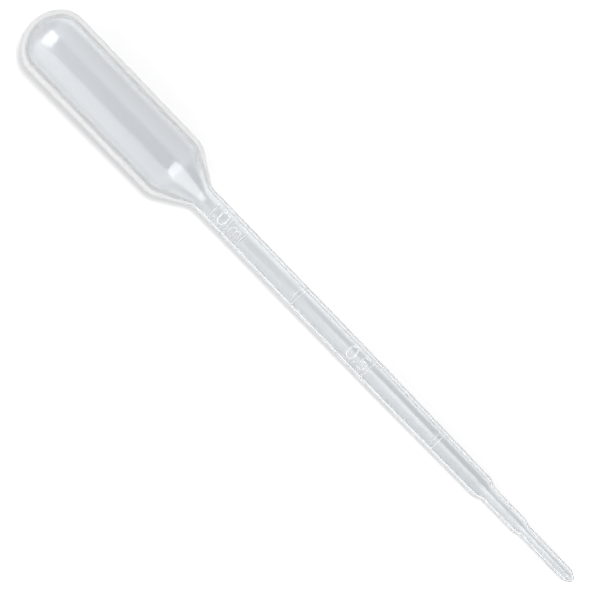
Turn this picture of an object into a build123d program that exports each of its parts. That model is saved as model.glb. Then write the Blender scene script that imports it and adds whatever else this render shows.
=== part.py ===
from build123d import *
from math import asin, atan2, cos, degrees, radians
import os

# Graduated transfer pipette, blown in one piece from low-density polyethylene.
# It is modelled along +X: the closed end of the bulb is at x = 0, the drop orifice is at the far end,
# and the graduated side faces +Z. Then it is laid down as it comes to rest, on the
# bulb's shoulder and on the tip, so that its axis falls a few degrees towards the tip.
# All sizes are in millimetres.

# Squeeze bulb, closed by a blunt dome
dome_length = 6.3
bulb_length = 33.4
bulb_od = 14.4
bulb_od_at_shoulder = 14.2
bulb_wall = 0.40

# Shoulder cone, from the bulb down to the stem
shoulder_length = 7.15
shoulder_round = 5.2
shoulder_foot_round = 3.0

# Stem: a parallel tube, then a slight taper
stem_parallel_length = 49.65
stem_taper_length = 28.2
stem_od = 5.2
stem_od_at_step = 4.8
stem_wall = 0.55

# Nozzle: the first, wider part below the stem
first_step_length = 1.8
nozzle_length = 8.7
nozzle_od = 3.44
nozzle_wall = 0.50

# Tip: the second, narrower part, with a nose cone round the drop orifice
second_step_length = 1.3
tip_length = 12.1
tip_od = 2.66
tip_wall = 0.47
nose_length = 1.4
nose_end_od = 0.95
orifice_d = 0.56
orifice_land = 0.30

# A blown wall comes out uneven. Here the air space sits a little high in every stretch, so that
# the underside is the heavier one and the marks stay on top when the pipette lies at rest.
air_space_lift = 0.05

# Edge roundings of the steps and the nose
step_corner_round = 0.50
step_foot_round = 0.45
nose_corner_round = 0.20

# Raised volume marks, a quarter of a millilitre apart, counted up from the end of the stem
mark_pitch = 19.35
last_mark_above_step = 12.4
mark_width = 0.42
mark_height = 0.16
mark_half_angle = 56.0

# From the lowest mark up, every second one has a second, shorter stroke on its bulb side
twin_gap = 0.92
twin_half_angle = 30.0

# Stations along the axis, from the closed end of the bulb
bulb_start = dome_length
shoulder_start = bulb_start + bulb_length
stem_start = shoulder_start + shoulder_length
taper_start = stem_start + stem_parallel_length
first_step = taper_start + stem_taper_length
nozzle_start = first_step + first_step_length
second_step = nozzle_start + nozzle_length
tip_start = second_step + second_step_length
nose_start = tip_start + tip_length
overall_length = nose_start + nose_length


def dome_arcs(dome_reach, bulb_radius):
    """Two tangent arcs of an eighth turn each: the corner over the bulb's wall, then the crown."""
    eighth = 45
    flatter = (bulb_radius - dome_reach) * cos(radians(eighth))
    corner_radius = dome_reach - flatter
    crown_radius = bulb_radius + flatter
    corner_centre = (bulb_start, bulb_radius - corner_radius)
    crown_centre = (bulb_start - dome_reach + crown_radius, 0)
    corner = CenterArc(corner_centre, corner_radius, 90, eighth)
    crown = CenterArc(crown_centre, crown_radius, 90 + eighth, eighth)
    return [corner, crown]


def turned_form(wall_line, dome_reach):
    """Solid turned about the axis from the wall line and the dome that closes its bulb end."""
    open_end = wall_line @ 1
    dome = dome_arcs(dome_reach, bulb_radius=(wall_line @ 0).Y)
    axis = Polyline(open_end, (open_end.X, 0), (bulb_start - dome_reach, 0))
    section = make_face([*dome, *wall_line.edges(), *axis.edges()])
    return revolve(section, axis=Axis.X)


def outer_wall():
    """Line of the outer wall, from the dome to the orifice."""
    stations = [
        (bulb_start, bulb_od / 2),
        (shoulder_start, bulb_od_at_shoulder / 2),
        (stem_start, stem_od / 2),
        (taper_start, stem_od / 2),
        (first_step, stem_od_at_step / 2),
        (nozzle_start, nozzle_od / 2),
        (second_step, nozzle_od / 2),
        (tip_start, tip_od / 2),
        (nose_start, tip_od / 2),
        (overall_length, nose_end_od / 2),
    ]
    rounds = [
        shoulder_round,
        shoulder_foot_round,
        0,
        step_corner_round,
        step_foot_round,
        step_corner_round,
        step_foot_round,
        nose_corner_round,
    ]
    return FilletPolyline(*stations, radius=rounds)


def inner_wall():
    """Line of the air space: the outer line less the wall of each stretch, open at the orifice."""
    stations = [
        (bulb_start, bulb_od / 2 - bulb_wall),
        (shoulder_start, bulb_od_at_shoulder / 2 - bulb_wall),
        (stem_start, stem_od / 2 - stem_wall),
        (taper_start, stem_od / 2 - stem_wall),
        (first_step, stem_od_at_step / 2 - stem_wall),
        (nozzle_start, nozzle_od / 2 - nozzle_wall),
        (second_step, nozzle_od / 2 - nozzle_wall),
        (tip_start, tip_od / 2 - tip_wall),
        (nose_start, tip_od / 2 - tip_wall),
        (overall_length - orifice_land, orifice_d / 2),
        (overall_length + orifice_land, orifice_d / 2),
    ]
    rounds = [
        shoulder_round - bulb_wall,
        shoulder_foot_round + stem_wall,
        0,
        max(0, step_corner_round - stem_wall),
        step_foot_round + nozzle_wall,
        max(0, step_corner_round - nozzle_wall),
        step_foot_round + tip_wall,
        0,
        0,
    ]
    return FilletPolyline(*stations, radius=rounds)


def stem_radius(x):
    """Outer radius of the stem at a place along the axis."""
    share = max(0.0, (x - taper_start) / stem_taper_length)
    return stem_od / 2 + share * (stem_od_at_step - stem_od) / 2


def mark(x, half_angle):
    """One raised stroke with rounded flanks, on the side that faces +Z."""
    bead = mark_width / 2
    middle = stem_radius(x) + mark_height - bead
    section = Rotation(-half_angle, 0, 0) * (Plane.XZ * Pos(x, middle) * Circle(bead))
    return revolve(section, axis=Axis.X, revolution_arc=2 * half_angle)


def marks():
    """All strokes: as many at the mark pitch as the stem has room for."""
    lowest = first_step - last_mark_above_step
    room = lowest - stem_start - shoulder_foot_round - mark_width
    count = 1 + int(room // mark_pitch)
    strokes = []
    for i in range(count):
        x = lowest - i * mark_pitch
        strokes.append(mark(x, mark_half_angle))
        if i % 2 == 0:
            strokes.append(mark(x - twin_gap, twin_half_angle))
    return strokes


def rest_tilt(wall_line):
    """Angle that puts the shoulder's rounding and the nose's corner on one level surface."""
    arcs = wall_line.edges().filter_by(GeomType.CIRCLE).sort_by(Axis.X)
    shoulder, nose = arcs[0], arcs[-1]
    run = nose.arc_center.X - shoulder.arc_center.X
    drop = shoulder.arc_center.Y - nose.arc_center.Y
    reach = (run**2 + drop**2) ** 0.5
    return degrees(atan2(drop, run) + asin((shoulder.radius - nose.radius) / reach))


def pipette():
    wall_line = outer_wall()
    body = turned_form(wall_line, dome_length) + marks()
    air_space = turned_form(inner_wall(), dome_length - bulb_wall)
    body -= Pos(0, 0, air_space_lift) * air_space
    laid = Rotation(0, rest_tilt(wall_line), 0) * body
    box = laid.bounding_box()
    return Pos(-box.center().X, -box.center().Y, -box.min.Z) * laid


os.makedirs("parts", exist_ok=True)
part = pipette()
export_step(part, "parts/pipette.step")
print("solids", len(part.solids()), "volume", round(part.volume, 2), "mm3")
print("box", part.bounding_box().size, "centre of mass", part.center(CenterOf.MASS))
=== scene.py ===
from math import asin, atan2, ceil, cos, hypot, pi, radians, sin, tan

import bpy
from bpy.props import FloatProperty, FloatVectorProperty, IntProperty, PointerProperty
from bpy.types import Operator, Panel, PropertyGroup
from mathutils import Matrix, Vector


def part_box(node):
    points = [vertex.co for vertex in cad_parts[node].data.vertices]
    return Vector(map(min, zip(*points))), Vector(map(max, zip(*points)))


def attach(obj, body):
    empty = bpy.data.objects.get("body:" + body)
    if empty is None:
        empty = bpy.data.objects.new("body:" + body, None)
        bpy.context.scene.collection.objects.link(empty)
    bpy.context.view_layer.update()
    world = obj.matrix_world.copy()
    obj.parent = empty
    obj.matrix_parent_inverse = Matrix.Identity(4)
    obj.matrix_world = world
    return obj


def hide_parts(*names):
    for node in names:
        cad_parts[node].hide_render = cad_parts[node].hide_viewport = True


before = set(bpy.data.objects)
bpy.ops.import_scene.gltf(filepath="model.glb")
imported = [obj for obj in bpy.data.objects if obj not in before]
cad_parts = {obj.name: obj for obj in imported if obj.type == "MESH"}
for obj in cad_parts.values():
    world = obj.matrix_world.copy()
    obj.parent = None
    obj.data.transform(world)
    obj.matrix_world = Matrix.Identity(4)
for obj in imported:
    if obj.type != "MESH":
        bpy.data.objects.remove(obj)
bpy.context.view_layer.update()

bl_info = {
    "name": "Graduated Dropper Pipette",
    "version": (1, 0, 0),
    "blender": (4, 5, 0),
    "location": "View3D > Sidebar > Pipette",
    "description": "Builds a blown polyethylene pipette with raised volume marks, and its studio",
    "category": "Add Mesh",
}

NODE = "pipette"
BODY = "root"
MM = 0.001
SAME_PLACE = 1e-7
ON_PLANE = 1e-6


def length(name, description, millimetres):
    return FloatProperty(
        name=name, description=description, default=millimetres * MM, min=0.0,
        precision=5, unit="LENGTH", subtype="DISTANCE",
    )


def turn(name, description, angle):
    return FloatProperty(
        name=name, description=description, default=radians(angle),
        precision=3, unit="ROTATION", subtype="ANGLE",
    )


def share(name, description, value):
    return FloatProperty(
        name=name, description=description, default=value, min=0.0, max=1.0, subtype="FACTOR",
    )


def shade(name, description, colour):
    return FloatVectorProperty(
        name=name, description=description, default=colour, size=4,
        min=0.0, max=1.0, subtype="COLOR",
    )


def brightness(name, description, value):
    return FloatProperty(name=name, description=description, default=value, min=0.0, precision=3)


class PipetteSizes(PropertyGroup):
    """Sizes of the blown wall, stretch by stretch from the closed end of the bulb."""

    dome: length("Dome", "Length of the dome that closes the bulb", 6.3)
    bulb: length("Bulb", "Length of the bulb between dome and shoulder", 33.4)
    bulb_wide: length("Bulb diameter", "Outer diameter of the bulb beside its dome", 14.32)
    bulb_narrow: length("Bulb diameter at shoulder", "Outer diameter of the bulb at its shoulder", 14.12)
    bulb_wall: length("Bulb wall", "Thickness of the bulb's wall", 0.40)
    shoulder: length("Shoulder", "Length of the cone between bulb and stem", 7.15)
    shoulder_round: length("Shoulder rounding", "Radius where the bulb turns into the cone", 5.2)
    shoulder_foot: length("Shoulder foot", "Radius where the cone meets the stem", 3.0)
    stem: length("Stem", "Length of the parallel stretch of the stem", 49.65)
    stem_taper: length("Stem taper", "Length of the tapering stretch of the stem", 28.2)
    stem_wide: length("Stem diameter", "Outer diameter of the parallel stem", 5.2)
    stem_narrow: length("Stem diameter at step", "Outer diameter of the stem at its first step", 4.8)
    stem_wall: length("Stem wall", "Thickness of the stem's wall", 0.55)
    first_step: length("First step", "Length of the step between stem and nozzle", 1.8)
    nozzle: length("Nozzle", "Length of the nozzle", 8.7)
    nozzle_wide: length("Nozzle diameter", "Outer diameter of the nozzle", 3.44)
    nozzle_wall: length("Nozzle wall", "Thickness of the nozzle's wall", 0.50)
    second_step: length("Second step", "Length of the step between nozzle and tip", 1.3)
    tip: length("Tip", "Length of the parallel tip", 12.1)
    tip_wide: length("Tip diameter", "Outer diameter of the tip", 2.66)
    tip_wall: length("Tip wall", "Thickness of the tip's wall", 0.47)
    nose: length("Nose", "Length of the cone round the orifice", 1.4)
    nose_end: length("Nose end diameter", "Outer diameter of the cut end", 0.95)
    orifice: length("Orifice", "Diameter of the drop orifice", 0.56)
    orifice_land: length("Orifice land", "Length of the parallel bore at the orifice", 0.30)
    step_corner: length("Step corner", "Radius on the wide edge of each step", 0.50)
    step_foot: length("Step foot", "Radius in the narrow edge of each step", 0.45)
    nose_corner: length("Nose corner", "Radius on the edge of the nose", 0.20)
    air_space_lift: length("Air space lift", "How far the air space sits above the wall's middle", 0.05)
    seam_height: length("Seam height", "Height of the mould's parting line", 0.02)
    sides: IntProperty(
        name="Sides", description="Faces round the turned wall", default=128, min=32, max=256,
    )
    ring_pitch: length("Ring pitch", "Longest face along the axis", 1.6)


class PipetteMarks(PropertyGroup):
    """Sizes of the raised strokes and numerals on the stem."""

    pitch: length("Pitch", "Distance between volume marks", 19.35)
    above_step: length("Above step", "Distance of the lowest mark from the first step", 12.4)
    width: length("Stroke width", "Width of a graduation stroke", 0.42)
    height: length("Stroke height", "Height of a graduation stroke", 0.20)
    half_angle: turn("Half angle", "Half of the arc that a stroke covers", 56.0)
    twin_gap: length("Twin gap", "Distance of the shorter stroke from its mark", 0.92)
    twin_half_angle: turn("Twin half angle", "Half of the arc that a shorter stroke covers", 30.0)
    numeral: length("Numeral", "Height of the numerals, across the stem", 2.5)
    numeral_width: length("Numeral stroke", "Width of a numeral's stroke", 0.40)
    numeral_height: length("Numeral relief", "Height of a numeral's stroke", 0.20)
    numeral_gap: length("Numeral gap", "Gap between a numeral and its mark", 0.75)


class PipetteFinish(PropertyGroup):
    """Look of the milky polyethylene."""

    colour: shade("Colour", "Colour of the skin", (0.972, 0.985, 0.998, 1.0))
    # Painted shade: the skin on the bulb's upright flanks is coloured darker than on its top and bottom,
    # fixed to the resting pose.
    painted_flank_shade: shade(
        "Side colour", "Colour of the skin on the bulb's upright flanks", (0.917, 0.925, 0.932, 1.0),
    )
    stem_shade: shade(
        "Stem shade", "Tint that the thicker wall of the stem adds", (0.941, 0.941, 0.938, 1.0),
    )
    shadow_tint: shade(
        "Shadow tint", "Share of the soft light that passes each surface", (0.69, 0.695, 0.70, 1.0),
    )
    depth_colour: shade(
        "Colour in depth", "Colour that is left after a long way in the wall", (0.0, 0.05, 0.10, 1.0),
    )
    density: FloatProperty(
        name="Density", description="How much light the wall takes, for each metre of it",
        default=208.0, min=0.0,
    )
    milk: shade("Milk", "Colour of the milky flanks and marks", (0.92, 0.925, 0.93, 1.0))
    # Painted shade: the milk on the wall's upper and lower sides is darker than on its flanks and marks.
    painted_shade_milk: shade(
        "Milk above and below", "Colour of the milky wall on its upper and lower sides",
        (0.66, 0.67, 0.68, 1.0),
    )
    edge_milk: share("Edge milk", "How milky the wall looks where it is seen edge on", 0.90)
    mark_milk: share("Mark milk", "How milky the raised marks look, being thicker", 0.45)
    clarity: share("Clarity", "Share of the light that goes through the wall", 1.0)
    haze: share("Haze", "Roughness of the surface", 0.12)
    haze_spread: share("Haze spread", "How far the roughness varies from place to place", 0.06)


class PipetteStage(PropertyGroup):
    """Sizes of the studio and the strength of its lamps."""

    view_width: length("View width", "Width that the camera covers at the pipette", 115.6)
    camera_height: length("Camera height", "Height of the camera above the floor", 1000.0)
    camera_turn: turn("Camera turn", "Turn of the camera about the vertical", 46.05)
    camera_shift: FloatProperty(
        name="Camera place", description="Place of the camera along the pipette",
        default=-0.71 * MM, precision=5, unit="LENGTH", subtype="DISTANCE",
    )
    camera_aside: FloatProperty(
        name="Camera place across", description="Place of the camera across the pipette",
        default=-0.24 * MM, precision=5, unit="LENGTH", subtype="DISTANCE",
    )
    key: brightness("Key lamp", "Brightness of the face of the key lamp, which is small and far off", 90.0)
    bulb_box: brightness("Bulb softbox", "Brightness of the softbox beyond the bulb", 3.3)
    tip_box: brightness("Tip softbox", "Brightness of the softbox beyond the tip", 3.0)
    near_card: brightness("Near card", "Brightness of the near card at its top", 1.7)
    far_card: brightness("Far card", "Brightness of the far card at its foot", 1.05)
    ambient: brightness("Ambient", "Brightness of the light from all round", 0.22)
    floor_seen: brightness("Floor seen", "Glow of the floor where it is seen directly", 0.24)
    # Painted light: the floor glows more where it is seen through the wall than where it is seen directly,
    # which brightens the pipette's body.
    painted_glow_through_wall: brightness("Floor through", "Glow of the floor where it is seen through the wall", 0.575)


def deselect_all():
    if bpy.context.object and bpy.context.object.mode != "OBJECT":
        bpy.ops.object.mode_set(mode="OBJECT")
    bpy.ops.object.select_all(action="DESELECT")


def pick(piece):
    """Makes one object the only selected one, and the active one."""
    deselect_all()
    piece.select_set(True)
    bpy.context.view_layer.objects.active = piece


def pick_vertices(piece, wanted):
    """Selects, in edit mode, the vertices for which wanted(place) holds."""
    bpy.ops.object.mode_set(mode="EDIT")
    bpy.ops.mesh.select_mode(type="VERT")
    bpy.ops.mesh.select_all(action="DESELECT")
    bpy.ops.object.mode_set(mode="OBJECT")
    for vertex in piece.data.vertices:
        vertex.select = wanted(vertex.co)
    bpy.ops.object.mode_set(mode="EDIT")


def rounded(corners, radii, chord=radians(4.0)):
    """The line through these corners, with an arc of the given radius in each inner corner."""
    line = [Vector(corners[0])]
    for i, radius in enumerate(radii, start=1):
        before, corner, after = (Vector(c) for c in corners[i - 1:i + 2])
        back, ahead = (before - corner).normalized(), (after - corner).normalized()
        bend = pi - back.angle(ahead)
        if radius <= 0.0 or bend < radians(0.05):
            line.append(corner)
            continue
        arm = (ahead + back).normalized() * -radius
        centre = corner + (back + ahead).normalized() * radius / cos(bend / 2)
        way = 1.0 if back.x * ahead.y - back.y * ahead.x < 0.0 else -1.0
        steps = max(3, ceil(bend / chord))
        for k in range(steps + 1):
            a = way * bend * (k / steps - 0.5)
            spoke = Vector((arm.x * cos(a) - arm.y * sin(a), arm.x * sin(a) + arm.y * cos(a)))
            line.append(centre + spoke)
    line.append(Vector(corners[-1]))
    return line


def dome(start, reach, radius, chord=radians(4.5)):
    """The dome's line from the axis to the bulb: a crown, then a tighter corner, both an eighth turn."""
    eighth = pi / 4
    flatter = (radius - reach) * cos(eighth)
    corner_radius, crown_radius = reach - flatter, radius + flatter
    steps = ceil(eighth / chord)
    line = []
    for k in range(steps):
        a = eighth * k / steps
        line.append(Vector((start - reach + crown_radius * (1.0 - cos(a)), crown_radius * sin(a))))
    for k in range(steps + 1):
        a = eighth * (1.0 + k / steps)
        line.append(Vector((start - corner_radius * cos(a), radius - corner_radius * (1.0 - sin(a)))))
    return line


class Stations:
    """Where each stretch of the wall begins, along the axis from the bulb's closed end."""

    def __init__(self, s):
        self.bulb = s.dome
        self.shoulder = self.bulb + s.bulb
        self.stem = self.shoulder + s.shoulder
        self.taper = self.stem + s.stem
        self.first_step = self.taper + s.stem_taper
        self.nozzle = self.first_step + s.first_step
        self.second_step = self.nozzle + s.nozzle
        self.tip = self.second_step + s.second_step
        self.nose = self.tip + s.tip
        self.end = self.nose + s.nose


def outer_line(s):
    """The outer wall's line, from the pole of the dome to the cut end."""
    at = Stations(s)
    corners = [
        (at.bulb, s.bulb_wide / 2),
        (at.shoulder, s.bulb_narrow / 2),
        (at.stem, s.stem_wide / 2),
        (at.taper, s.stem_wide / 2),
        (at.first_step, s.stem_narrow / 2),
        (at.nozzle, s.nozzle_wide / 2),
        (at.second_step, s.nozzle_wide / 2),
        (at.tip, s.tip_wide / 2),
        (at.nose, s.tip_wide / 2),
        (at.end, s.nose_end / 2),
    ]
    radii = [
        s.shoulder_round, s.shoulder_foot, 0.0, s.step_corner,
        s.step_foot, s.step_corner, s.step_foot, s.nose_corner,
    ]
    return dome(at.bulb, s.dome, s.bulb_wide / 2) + rounded(corners, radii)[1:]


def inner_line(s):
    """The air space's line, from the pole of the dome to the orifice."""
    at = Stations(s)
    corners = [
        (at.bulb, s.bulb_wide / 2 - s.bulb_wall),
        (at.shoulder, s.bulb_narrow / 2 - s.bulb_wall),
        (at.stem, s.stem_wide / 2 - s.stem_wall),
        (at.taper, s.stem_wide / 2 - s.stem_wall),
        (at.first_step, s.stem_narrow / 2 - s.stem_wall),
        (at.nozzle, s.nozzle_wide / 2 - s.nozzle_wall),
        (at.second_step, s.nozzle_wide / 2 - s.nozzle_wall),
        (at.tip, s.tip_wide / 2 - s.tip_wall),
        (at.nose, s.tip_wide / 2 - s.tip_wall),
        (at.end - s.orifice_land, s.orifice / 2),
        (at.end, s.orifice / 2),
    ]
    radii = [
        s.shoulder_round - s.bulb_wall, s.shoulder_foot + s.stem_wall, 0.0, 0.0,
        s.step_foot + s.nozzle_wall, 0.0, s.step_foot + s.tip_wall, 0.0, 0.0,
    ]
    crown = dome(at.bulb, s.dome - s.bulb_wall, s.bulb_wide / 2 - s.bulb_wall)
    return crown + rounded(corners, radii)[1:]


def rest_tilt(s):
    """The angle at which shoulder and nose lie on one level floor."""
    at = Stations(s)
    cone = atan2(s.bulb_narrow / 2 - s.stem_wide / 2, s.shoulder)
    flank = atan2(s.bulb_wide / 2 - s.bulb_narrow / 2, s.bulb)
    bend = cone - flank
    reach = s.shoulder_round * tan(bend / 2)
    shoulder = Vector((
        at.shoulder - reach * cos(flank) - s.shoulder_round * sin(flank),
        s.bulb_narrow / 2 + reach * sin(flank) - s.shoulder_round * cos(flank),
    ))
    slope = atan2(s.tip_wide / 2 - s.nose_end / 2, s.nose)
    nose = Vector((at.nose - s.nose_corner * tan(slope / 2), s.tip_wide / 2 - s.nose_corner))
    run, drop = nose.x - shoulder.x, shoulder.y - nose.y
    return atan2(drop, run) + asin((s.shoulder_round - s.nose_corner) / hypot(run, drop))


def stem_radius(s, x):
    """Outer radius of the stem at a place along the axis."""
    run = max(0.0, (x - Stations(s).taper) / s.stem_taper)
    return s.stem_wide / 2 + run * (s.stem_narrow - s.stem_wide) / 2


class PIPETTE_OT_wall(Operator):
    """Draw the wall's section and spin it about the axis"""

    bl_idname = "pipette.wall"
    bl_label = "Blown Wall"

    def execute(self, context):
        s = context.scene.pipette_sizes
        section = outer_line(s) + inner_line(s)[::-1]
        deselect_all()
        bpy.ops.mesh.primitive_plane_add(size=MM, location=(0.0, 0.0, 0.0))
        wall = context.object
        wall.name = wall.data.name = "pipette_wall"
        bpy.ops.object.mode_set(mode="EDIT")
        bpy.ops.mesh.merge(type="CENTER")
        place = section[0]
        bpy.ops.transform.translate(value=(place.x, place.y, 0.0))
        for point in section[1:]:
            step = point - place
            if step.length < SAME_PLACE:
                continue
            pulls = max(1, ceil(abs(step.x) / s.ring_pitch))
            for _ in range(pulls):
                bpy.ops.mesh.extrude_region_move(
                    TRANSFORM_OT_translate={"value": (step.x / pulls, step.y / pulls, 0.0)}
                )
            place = point
        bpy.ops.mesh.select_all(action="SELECT")
        bpy.ops.mesh.spin(
            steps=s.sides, angle=2 * pi, center=(0.0, 0.0, 0.0), axis=(1.0, 0.0, 0.0),
        )
        bpy.ops.mesh.select_all(action="SELECT")
        bpy.ops.mesh.remove_doubles(threshold=2e-6)
        bpy.ops.mesh.normals_make_consistent(inside=False)
        self.raise_seam(wall, s)
        self.lift_air_space(wall, s)
        return {"FINISHED"}

    def raise_seam(self, wall, s):
        """Pulls out the row of vertices on each side where the mould's halves met."""
        first, last = 0.4 * s.dome, Stations(s).nose
        clear_of_orifice = 1.2 * s.orifice / 2
        for side in (1.0, -1.0):
            pick_vertices(wall, lambda co: (
                side * co.y > clear_of_orifice and abs(co.z) < ON_PLANE
                and first < co.x < last and self.is_outside(co, s)
            ))
            bpy.ops.transform.translate(value=(0.0, side * s.seam_height, 0.0))
        bpy.ops.object.mode_set(mode="OBJECT")

    def is_outside(self, co, s):
        """True for a point nearer to the outer wall than to the air space."""
        return hypot(co.y, co.z) > self.middle_of_wall(co.x, s)

    def middle_of_wall(self, x, s):
        """Radius half-way between the two faces of the wall at a place along the axis."""
        at = Stations(s)
        stretches = [
            (at.bulb, s.bulb_wide / 2 - s.bulb_wall / 2),
            (at.shoulder, s.bulb_narrow / 2 - s.bulb_wall / 2),
            (at.stem, s.stem_wide / 2 - s.stem_wall / 2),
            (at.taper, s.stem_wide / 2 - s.stem_wall / 2),
            (at.first_step, s.stem_narrow / 2 - s.stem_wall / 2),
            (at.nozzle, s.nozzle_wide / 2 - s.nozzle_wall / 2),
            (at.second_step, s.nozzle_wide / 2 - s.nozzle_wall / 2),
            (at.tip, s.tip_wide / 2 - s.tip_wall / 2),
            (at.nose, s.tip_wide / 2 - s.tip_wall / 2),
            (at.end, (s.nose_end + s.orifice) / 4),
        ]
        if x <= at.bulb:
            reach = s.dome - s.bulb_wall / 2
            share_in = max(0.0, 1.0 - ((at.bulb - x) / reach) ** 2)
            return (s.bulb_wide / 2 - s.bulb_wall / 2) * share_in ** 0.5
        for (x0, r0), (x1, r1) in zip(stretches, stretches[1:]):
            if x <= x1:
                return r0 + (r1 - r0) * (x - x0) / (x1 - x0)
        return stretches[-1][1]

    def lift_air_space(self, wall, s):
        """Shifts the air space up, which leaves the blown wall thinner above and thicker below."""
        last = Stations(s).end - s.orifice_land / 2
        pick_vertices(wall, lambda co: co.x < last and not self.is_outside(co, s))
        bpy.ops.transform.translate(value=(0.0, 0.0, s.air_space_lift))
        bpy.ops.object.mode_set(mode="OBJECT")


GLYPHS = {
    "1": (0.34, [[(0.30, 1.00), (0.30, 0.00)], [(0.00, 0.74), (0.29, 0.97)]]),
    ".": (0.12, [[(0.06, 0.00), (0.06, 0.13)]]),
    "0": (0.66, [[
        (0.33, 1.00), (0.10, 0.98), (0.00, 0.74), (0.00, 0.50), (0.00, 0.26), (0.10, 0.02),
        (0.33, 0.00), (0.56, 0.02), (0.66, 0.26), (0.66, 0.50), (0.66, 0.74), (0.56, 0.98),
    ]]),
    "5": (0.60, [[
        (0.56, 1.00), (0.30, 1.00), (0.12, 1.00), (0.06, 0.98), (0.04, 0.78), (0.02, 0.58), (0.06, 0.54),
        (0.22, 0.66), (0.52, 0.66), (0.62, 0.48), (0.62, 0.18), (0.48, 0.00), (0.20, -0.02), (0.00, 0.12),
    ]]),
    "m": (0.86, [
        [(0.00, 0.66), (0.00, 0.00)],
        [(0.00, 0.42), (0.08, 0.66), (0.36, 0.74), (0.43, 0.56), (0.43, 0.28), (0.43, 0.00)],
        [(0.43, 0.42), (0.51, 0.66), (0.79, 0.74), (0.86, 0.56), (0.86, 0.28), (0.86, 0.00)],
    ]),
    "l": (0.12, [[(0.04, 1.00), (0.04, 0.00)]]),
}
CLOSED = {"0"}
LETTER_GAP = 0.24
STRAIGHT_POINTS = 5
END_THINNING = 0.75


class PIPETTE_OT_marks(Operator):
    """Lay the raised strokes and numerals round the stem and fuse them with the wall"""

    bl_idname = "pipette.marks"
    bl_label = "Volume Marks"

    def execute(self, context):
        s, m = context.scene.pipette_sizes, context.scene.pipette_marks
        wall = bpy.data.objects.get("pipette_wall")
        if wall is None:
            raise RuntimeError("the wall comes first: run Blown Wall")
        at = Stations(s)
        lowest = at.first_step - m.above_step
        room = lowest - at.stem - s.shoulder_foot - m.width
        steps_up = int(room // m.pitch)
        for i in range(steps_up + 1):
            x = lowest - i * m.pitch
            self.stroke(wall, s, m, x, m.half_angle)
            if i % 2 == 0:
                self.stroke(wall, s, m, x - m.twin_gap, m.twin_half_angle)
        top = lowest - steps_up * m.pitch
        self.word(wall, s, m, "1.0", top - m.numeral_gap, ends_there=True)
        self.word(wall, s, m, "ml", top + m.numeral_gap, ends_there=False)
        half = lowest - m.pitch
        self.word(wall, s, m, "0.5", half - m.numeral_gap, ends_there=True)
        self.note_relief(wall, s, m)
        return {"FINISHED"}

    def stroke(self, wall, s, m, x, half_angle):
        """One graduation stroke: a round bead that follows the stem."""
        across = stem_radius(s, x) * half_angle
        steps = 14
        path = [(x, across * (2.0 * k / steps - 1.0)) for k in range(steps + 1)]
        self.bead(wall, s, path, m.width, m.height)

    def word(self, wall, s, m, letters, edge, ends_there):
        """Numerals that read along the stem, from the bulb to the tip."""
        widths = [GLYPHS[c][0] for c in letters]
        total = (sum(widths) + LETTER_GAP * (len(letters) - 1)) * m.numeral
        x = edge - total if ends_there else edge
        for c, width in zip(letters, widths):
            for line in GLYPHS[c][1]:
                path = [(x + px * m.numeral, (py - 0.5) * m.numeral) for px, py in line]
                self.bead(wall, s, path, m.numeral_width, m.numeral_height, closed=c in CLOSED)
            x += (width + LETTER_GAP) * m.numeral

    def bead(self, wall, s, path, width, height, closed=False):
        """A rounded ridge along a path given as (along the stem, across it), fused with the wall."""
        deselect_all()
        if len(path) < STRAIGHT_POINTS:
            ends = Vector(path[0]), Vector(path[-1])
            pieces = STRAIGHT_POINTS - 1
            path = [tuple(ends[0].lerp(ends[1], k / pieces)) for k in range(STRAIGHT_POINTS)]
        bpy.ops.curve.primitive_nurbs_path_add()
        ridge = bpy.context.object
        curve = ridge.data
        curve.dimensions = "3D"
        curve.bevel_depth = width / 2
        curve.bevel_resolution = 3
        curve.use_fill_caps = not closed
        curve.resolution_u = 5
        spline = curve.splines[0]
        spline.points.add(max(0, len(path) - len(spline.points)))
        for i, (point, (x, across)) in enumerate(zip(spline.points, path)):
            thin = END_THINNING if i in (0, len(path) - 1) and not closed else 1.0
            crest = stem_radius(s, x) + height - thin * width / 2
            a = across / stem_radius(s, x)
            point.co = (x, crest * sin(a), crest * cos(a), 1.0)
            point.radius = thin
        spline.order_u = 3
        spline.use_endpoint_u = not closed
        spline.use_cyclic_u = closed
        bpy.ops.object.convert(target="MESH")
        ridge = bpy.context.object
        bpy.ops.object.mode_set(mode="EDIT")
        bpy.ops.mesh.select_all(action="SELECT")
        bpy.ops.mesh.remove_doubles(threshold=5e-6)
        bpy.ops.mesh.normals_make_consistent(inside=False)
        bpy.ops.object.mode_set(mode="OBJECT")
        pick(wall)
        before = len(wall.data.vertices)
        fuse = wall.modifiers.new("fuse", "BOOLEAN")
        fuse.operation = "UNION"
        fuse.solver = "MANIFOLD"
        fuse.object = ridge
        bpy.ops.object.modifier_apply(modifier=fuse.name)
        if wall.modifiers or len(wall.data.vertices) == before:
            raise RuntimeError("a raised stroke could not be fused with the wall")
        bpy.data.objects.remove(ridge)

    def note_relief(self, wall, s, m):
        """Keeps how far each point stands above the plain stem, as a share of a stroke's height."""
        relief = wall.data.attributes.new("relief", "FLOAT", "POINT")
        at = Stations(s)
        for vertex, value in zip(wall.data.vertices, relief.data):
            x, radius = vertex.co.x, hypot(vertex.co.y, vertex.co.z)
            on_stem = at.stem + s.shoulder_foot < x < at.first_step
            proud = (radius - stem_radius(s, x)) / m.height if on_stem else 0.0
            value.value = min(1.0, max(0.0, proud))


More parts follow.
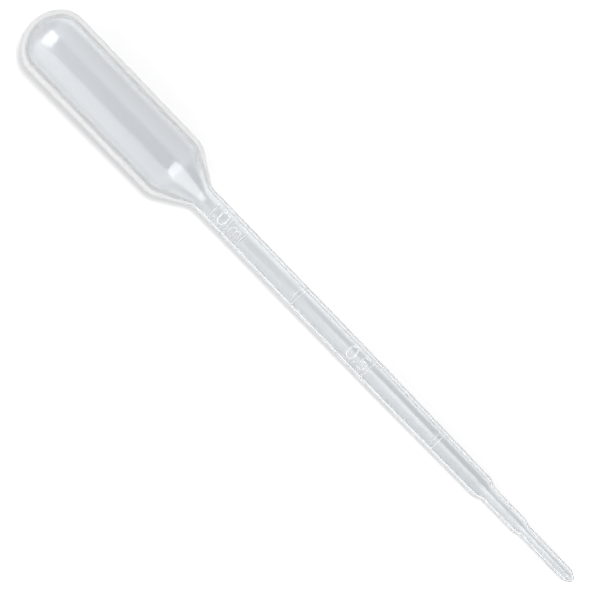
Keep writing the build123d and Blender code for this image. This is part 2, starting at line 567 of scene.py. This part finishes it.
class PIPETTE_OT_lay_down(Operator):
    """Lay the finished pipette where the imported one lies"""

    bl_idname = "pipette.lay_down"
    bl_label = "Lay Down"

    def execute(self, context):
        s = context.scene.pipette_sizes
        wall = bpy.data.objects["pipette_wall"]
        pick(wall)
        wall.data.transform(Matrix.Rotation(rest_tilt(s), 4, "Y"))
        low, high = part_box(NODE)
        xs = [v.co.x for v in wall.data.vertices]
        floor = min(v.co.z for v in wall.data.vertices)
        shift = Vector((
            (low.x + high.x - min(xs) - max(xs)) / 2, (low.y + high.y) / 2, low.z - floor,
        ))
        wall.data.transform(Matrix.Translation(shift))
        bpy.ops.object.shade_smooth_by_angle(angle=radians(32.0))
        self.note_sides(wall)
        wall.data.materials.clear()
        at, run = Stations(s), cos(rest_tilt(s))
        wall.data.materials.append(polyethylene(
            context.scene.pipette_finish, low.x + at.shoulder * run, low.x + at.stem * run,
        ))
        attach(wall, BODY)
        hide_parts(NODE)
        return {"FINISHED"}

    def note_sides(self, wall):
        """Keeps how upright the wall stands at each point: 0 above and below, 1 at the sides. It masks the
        painted shade of the skin and the painted milk on the flanks, fixed to the resting pose.
        """
        side = wall.data.attributes.new("side", "FLOAT", "POINT")
        for vertex, value in zip(wall.data.vertices, side.data):
            value.value = 1.0 - abs(vertex.normal.z)


class Value:
    """A socket that takes part in Python arithmetic, each step as a Math node."""

    def __init__(self, kit, socket):
        self.kit, self.socket = kit, socket

    def math(self, operation, other, turned=False):
        pair = (other, self) if turned else (self, other)
        return self.kit.node("ShaderNodeMath", {"operation": operation}, {0: pair[0], 1: pair[1]})

    def __add__(self, other):
        return self.math("ADD", other)

    def __radd__(self, other):
        return self.math("ADD", other, turned=True)

    def __sub__(self, other):
        return self.math("SUBTRACT", other)

    def __rsub__(self, other):
        return self.math("SUBTRACT", other, turned=True)

    def __mul__(self, other):
        return self.math("MULTIPLY", other)

    def __rmul__(self, other):
        return self.math("MULTIPLY", other, turned=True)


class Kit:
    """Adds nodes to one tree."""

    def __init__(self, tree):
        self.tree = tree
        tree.nodes.clear()

    def node(self, kind, settings=None, sockets=None, out=0):
        made = self.tree.nodes.new(kind)
        for name, value in (settings or {}).items():
            setattr(made, name, value)
        for name, value in (sockets or {}).items():
            if isinstance(value, Value):
                self.tree.links.new(value.socket, made.inputs[name])
            else:
                made.inputs[name].default_value = value
        return Value(self, made.outputs[out]) if len(made.outputs) else made


def new_material(name):
    material = bpy.data.materials.new(name)
    material.use_nodes = True
    return material, Kit(material.node_tree)


IOR = 1.51
FLANK_STARTS, FLANK_FULL = 0.18, 0.42
BULB_EDGE_STARTS, BULB_EDGE_FULL = 0.34, 0.62
STEM_EDGE_STARTS, STEM_EDGE_FULL = 0.40, 0.85


def polyethylene(finish, thin_end, thick_end):
    """Milky blown polyethylene, whose wall thickens from thin_end to thick_end along X.

    The attribute relief is 1 on top of the raised marks, and side is 1 on the upright flanks, where the
    skin is painted darker and the milk painted lighter than above and below, a painted light and shade
    fixed to the resting pose.
    """
    material, kit = new_material("milky_polyethylene")
    place = kit.node("ShaderNodeTexCoord", out=3)
    cloud = kit.node("ShaderNodeTexNoise", {"noise_dimensions": "3D"}, {
        "Vector": place, "Scale": 160.0, "Detail": 3.0, "Roughness": 0.55,
    })
    relief = kit.node("ShaderNodeAttribute", {"attribute_name": "relief"}, out=2)
    satin = finish.haze - finish.haze_spread / 2 + cloud * finish.haze_spread
    rough = satin * (1.0 - 0.6 * relief)
    along = kit.node("ShaderNodeSeparateXYZ", None, {0: place}, out=0)
    thicker = kit.node("ShaderNodeMapRange", {"interpolation_type": "SMOOTHSTEP"}, {
        "Value": along, "From Min": thin_end, "From Max": thick_end,
    })
    edge = kit.node("ShaderNodeLayerWeight", None, {"Blend": 0.5}, out=1)
    side = kit.node("ShaderNodeAttribute", {"attribute_name": "side"}, out=2)
    painted_flank_mask = kit.node("ShaderNodeMapRange", {"interpolation_type": "SMOOTHSTEP"}, {
        "Value": side, "From Min": FLANK_STARTS, "From Max": FLANK_FULL,
    })
    # Painted shade: the skin is tinted darker on the bulb's upright flanks; the thicker stem is tinted by
    # stem_shade.
    tint = kit.node("ShaderNodeMix", {"data_type": "RGBA"}, {
        0: painted_flank_mask * (1.0 - thicker), 6: finish.colour[:], 7: finish.painted_flank_shade[:],
    }, out=2)
    tint = kit.node("ShaderNodeMix", {"data_type": "RGBA", "blend_type": "MULTIPLY"}, {
        0: thicker, 6: tint, 7: finish.stem_shade[:],
    }, out=2)
    skin = kit.node("ShaderNodeBsdfPrincipled", None, {
        "Base Color": tint,
        "Roughness": rough,
        "IOR": IOR,
        "Transmission Weight": finish.clarity,
        "Coat Weight": relief,
        "Coat Roughness": 0.10,
    })
    # Painted light and shade: the milk is lighter on the upright flanks and darker above and below; the
    # marks take the lighter milk.
    upright = kit.node("ShaderNodeMath", {"operation": "MAXIMUM"}, {0: painted_flank_mask, 1: relief})
    cream = kit.node("ShaderNodeMix", {"data_type": "RGBA"}, {
        0: upright, 6: finish.painted_shade_milk[:], 7: finish.milk[:],
    }, out=2)
    milk = kit.node("ShaderNodeBsdfPrincipled", None, {
        "Base Color": cream, "Roughness": 0.3, "IOR": IOR,
    })
    thick = kit.node("ShaderNodeMapRange", {"interpolation_type": "SMOOTHSTEP"}, {
        "Value": edge,
        "From Min": BULB_EDGE_STARTS + (STEM_EDGE_STARTS - BULB_EDGE_STARTS) * thicker,
        "From Max": BULB_EDGE_FULL + (STEM_EDGE_FULL - BULB_EDGE_FULL) * thicker,
        "To Max": finish.edge_milk,
    })
    thick = kit.node("ShaderNodeMath", {"operation": "MAXIMUM"}, {
        0: thick, 1: relief * finish.mark_milk,
    })
    wall = kit.node("ShaderNodeMixShader", None, {0: thick, 1: skin, 2: milk})
    through = kit.node("ShaderNodeBsdfTransparent", None, {"Color": finish.shadow_tint[:]})
    soft_light = kit.node("ShaderNodeLightPath", out=1) + kit.node("ShaderNodeLightPath", out=2)
    mixed = kit.node("ShaderNodeMixShader", None, {0: soft_light, 1: wall, 2: through})
    depth = kit.node("ShaderNodeVolumeAbsorption", None, {
        "Color": finish.depth_colour[:], "Density": finish.density,
    })
    kit.node("ShaderNodeOutputMaterial", None, {"Surface": mixed, "Volume": depth})
    return material


def floor_material(stage):
    """Pale paper with a glow of its own where it is seen directly, and a stronger painted glow where it is
    seen through the wall, which brightens the pipette's body.
    """
    material, kit = new_material("pale_floor")
    seen = kit.node("ShaderNodeLightPath", out=0)
    through = kit.node("ShaderNodeLightPath", out=6)
    paper = kit.node("ShaderNodeBsdfDiffuse", None, {"Color": (0.8, 0.8, 0.8, 1.0)})
    lift = kit.node("ShaderNodeEmission", None, {
        "Color": (1.0, 1.0, 1.0, 1.0),
        "Strength": stage.floor_seen * seen + stage.painted_glow_through_wall * through,
    })
    both = kit.node("ShaderNodeAddShader", None, {0: paper, 1: lift})
    kit.node("ShaderNodeOutputMaterial", None, {"Surface": both})
    return material


AIM_HEIGHT = 0.005


class PIPETTE_OT_stage(Operator):
    """Set up the pale floor, the lamps and the camera"""

    bl_idname = "pipette.stage"
    bl_label = "Studio"

    def execute(self, context):
        stage = context.scene.pipette_stage
        self.floor(stage)
        self.world(context, stage)
        aim = Vector((0.0, 0.0, AIM_HEIGHT))
        self.lamp(
            "key_lamp", aim, lean=(9.0, 90.0), reach=1.6, size=(0.25, 0.25),
            radiance=stage.key, shows=False,
        )
        self.lamp(
            "bulb_softbox", aim, lean=(30.2, 180.0), reach=0.9, size=(0.75, 0.794),
            radiance=stage.bulb_box, roll=9.0, lights=False,
        )
        self.lamp(
            "tip_softbox", aim, lean=(41.0, -8.0), reach=0.9, size=(0.72, 1.21),
            radiance=stage.tip_box, lights=False,
        )
        self.card(
            "near_card", y=-0.50, height=1.18, fade=0.60, levels=(0.0, stage.near_card), lights=1.0,
        )
        self.card(
            "far_card", y=0.90, height=1.75, fade=1.75,
            levels=(stage.far_card, stage.far_card * 0.4), lights=0.4,
        )
        self.camera(context, stage)
        context.scene.view_settings.view_transform = "Standard"
        return {"FINISHED"}

    def floor(self, stage):
        deselect_all()
        bpy.ops.mesh.primitive_plane_add(size=6.0, location=(0.0, 0.0, 0.0))
        floor = bpy.context.object
        floor.name = "studio_floor"
        floor.data.materials.append(floor_material(stage))

    def world(self, context, stage):
        world = bpy.data.worlds.new("studio")
        context.scene.world = world
        world.use_nodes = True
        kit = Kit(world.node_tree)
        seen = kit.node("ShaderNodeLightPath", out=0)
        plain = kit.node("ShaderNodeBackground", None, {
            "Color": (1.0, 1.0, 1.0, 1.0), "Strength": stage.ambient + (1.0 - stage.ambient) * seen,
        })
        kit.node("ShaderNodeOutputWorld", None, {"Surface": plain})

    def lamp(self, name, aim, lean, reach, size, radiance, roll=0.0, shows=True, lights=True):
        """A rectangular lamp: lean is (degrees from the vertical, degrees round it from +X)."""
        tilt, bearing = radians(lean[0]), radians(lean[1])
        away = Vector((sin(tilt) * cos(bearing), sin(tilt) * sin(bearing), cos(tilt)))
        deselect_all()
        bpy.ops.object.light_add(type="AREA", location=aim + away * reach)
        lamp = bpy.context.object
        lamp.name = name
        along = Vector((0.0, 1.0, 0.0)) if abs(away.y) < abs(away.x) else Vector((1.0, 0.0, 0.0))
        up = away.cross(along)
        turned = Matrix((along, up, away)).transposed() @ Matrix.Rotation(radians(roll), 3, "Z")
        lamp.rotation_euler = turned.to_euler()
        lamp.data.shape = "RECTANGLE"
        lamp.data.size, lamp.data.size_y = size
        lamp.data.energy = pi * size[0] * size[1] * radiance
        lamp.visible_glossy = lamp.visible_transmission = shows
        lamp.visible_diffuse = lights
        lamp.visible_camera = False

    def card(self, name, y, height, fade, levels, lights):
        """An upright card along X that glows from levels[0] at its foot to levels[1] at the height fade.

        Of its glow, the share lights falls on matt surfaces.
        """
        deselect_all()
        bpy.ops.mesh.primitive_plane_add(size=1.0)
        card = bpy.context.object
        card.name = name
        bpy.ops.object.mode_set(mode="EDIT")
        bpy.ops.transform.resize(value=(2.4, height, 1.0))
        bpy.ops.transform.rotate(value=pi / 2, orient_axis="X", center_override=(0.0, 0.0, 0.0))
        bpy.ops.transform.translate(value=(0.0, y, height / 2))
        bpy.ops.object.mode_set(mode="OBJECT")
        material, kit = new_material(name + "_glow")
        place = kit.node("ShaderNodeTexCoord", out=3)
        above_floor = kit.node("ShaderNodeSeparateXYZ", None, {0: place}, out=2)
        top = max(levels)
        glow = kit.node("ShaderNodeMapRange", None, {
            "Value": above_floor, "From Min": 0.0, "From Max": fade,
            "To Min": levels[0] / top, "To Max": levels[1] / top,
        })
        soft = kit.node("ShaderNodeLightPath", out=2)
        light = kit.node("ShaderNodeEmission", None, {
            "Color": glow, "Strength": top * (1.0 - (1.0 - lights) * soft),
        })
        kit.node("ShaderNodeOutputMaterial", None, {"Surface": light})
        card.data.materials.append(material)
        card.visible_camera = card.visible_shadow = False

    def camera(self, context, stage):
        deselect_all()
        bpy.ops.object.camera_add(
            location=(stage.camera_shift, stage.camera_aside, stage.camera_height),
            rotation=(0.0, 0.0, stage.camera_turn),
        )
        camera = context.object
        camera.name = "studio_camera"
        reach = stage.camera_height - AIM_HEIGHT
        camera.data.lens = camera.data.sensor_width * reach / stage.view_width
        camera.data.clip_end = 10.0
        context.scene.camera = camera


class PIPETTE_PT_panel(Panel):
    """Lists the steps that build the pipette and its studio"""

    bl_idname = "PIPETTE_PT_panel"
    bl_label = "Dropper Pipette"
    bl_space_type = "VIEW_3D"
    bl_region_type = "UI"
    bl_category = "Pipette"

    def draw(self, context):
        for step in STEPS:
            self.layout.operator(step.bl_idname)


STEPS = (PIPETTE_OT_wall, PIPETTE_OT_marks, PIPETTE_OT_lay_down, PIPETTE_OT_stage)
GROUPS = {
    "pipette_sizes": PipetteSizes,
    "pipette_marks": PipetteMarks,
    "pipette_finish": PipetteFinish,
    "pipette_stage": PipetteStage,
}


def register():
    for group in (*GROUPS.values(), *STEPS, PIPETTE_PT_panel):
        bpy.utils.register_class(group)
    for name, group in GROUPS.items():
        setattr(bpy.types.Scene, name, PointerProperty(type=group))


def unregister():
    for name in GROUPS:
        delattr(bpy.types.Scene, name)
    for group in (PIPETTE_PT_panel, *reversed(STEPS), *reversed(list(GROUPS.values()))):
        bpy.utils.unregister_class(group)


def main():
    register()
    bpy.ops.pipette.wall()
    bpy.ops.pipette.marks()
    bpy.ops.pipette.lay_down()
    bpy.ops.pipette.stage()
    bpy.context.view_layer.update()


if __name__ == "__main__":
    main()
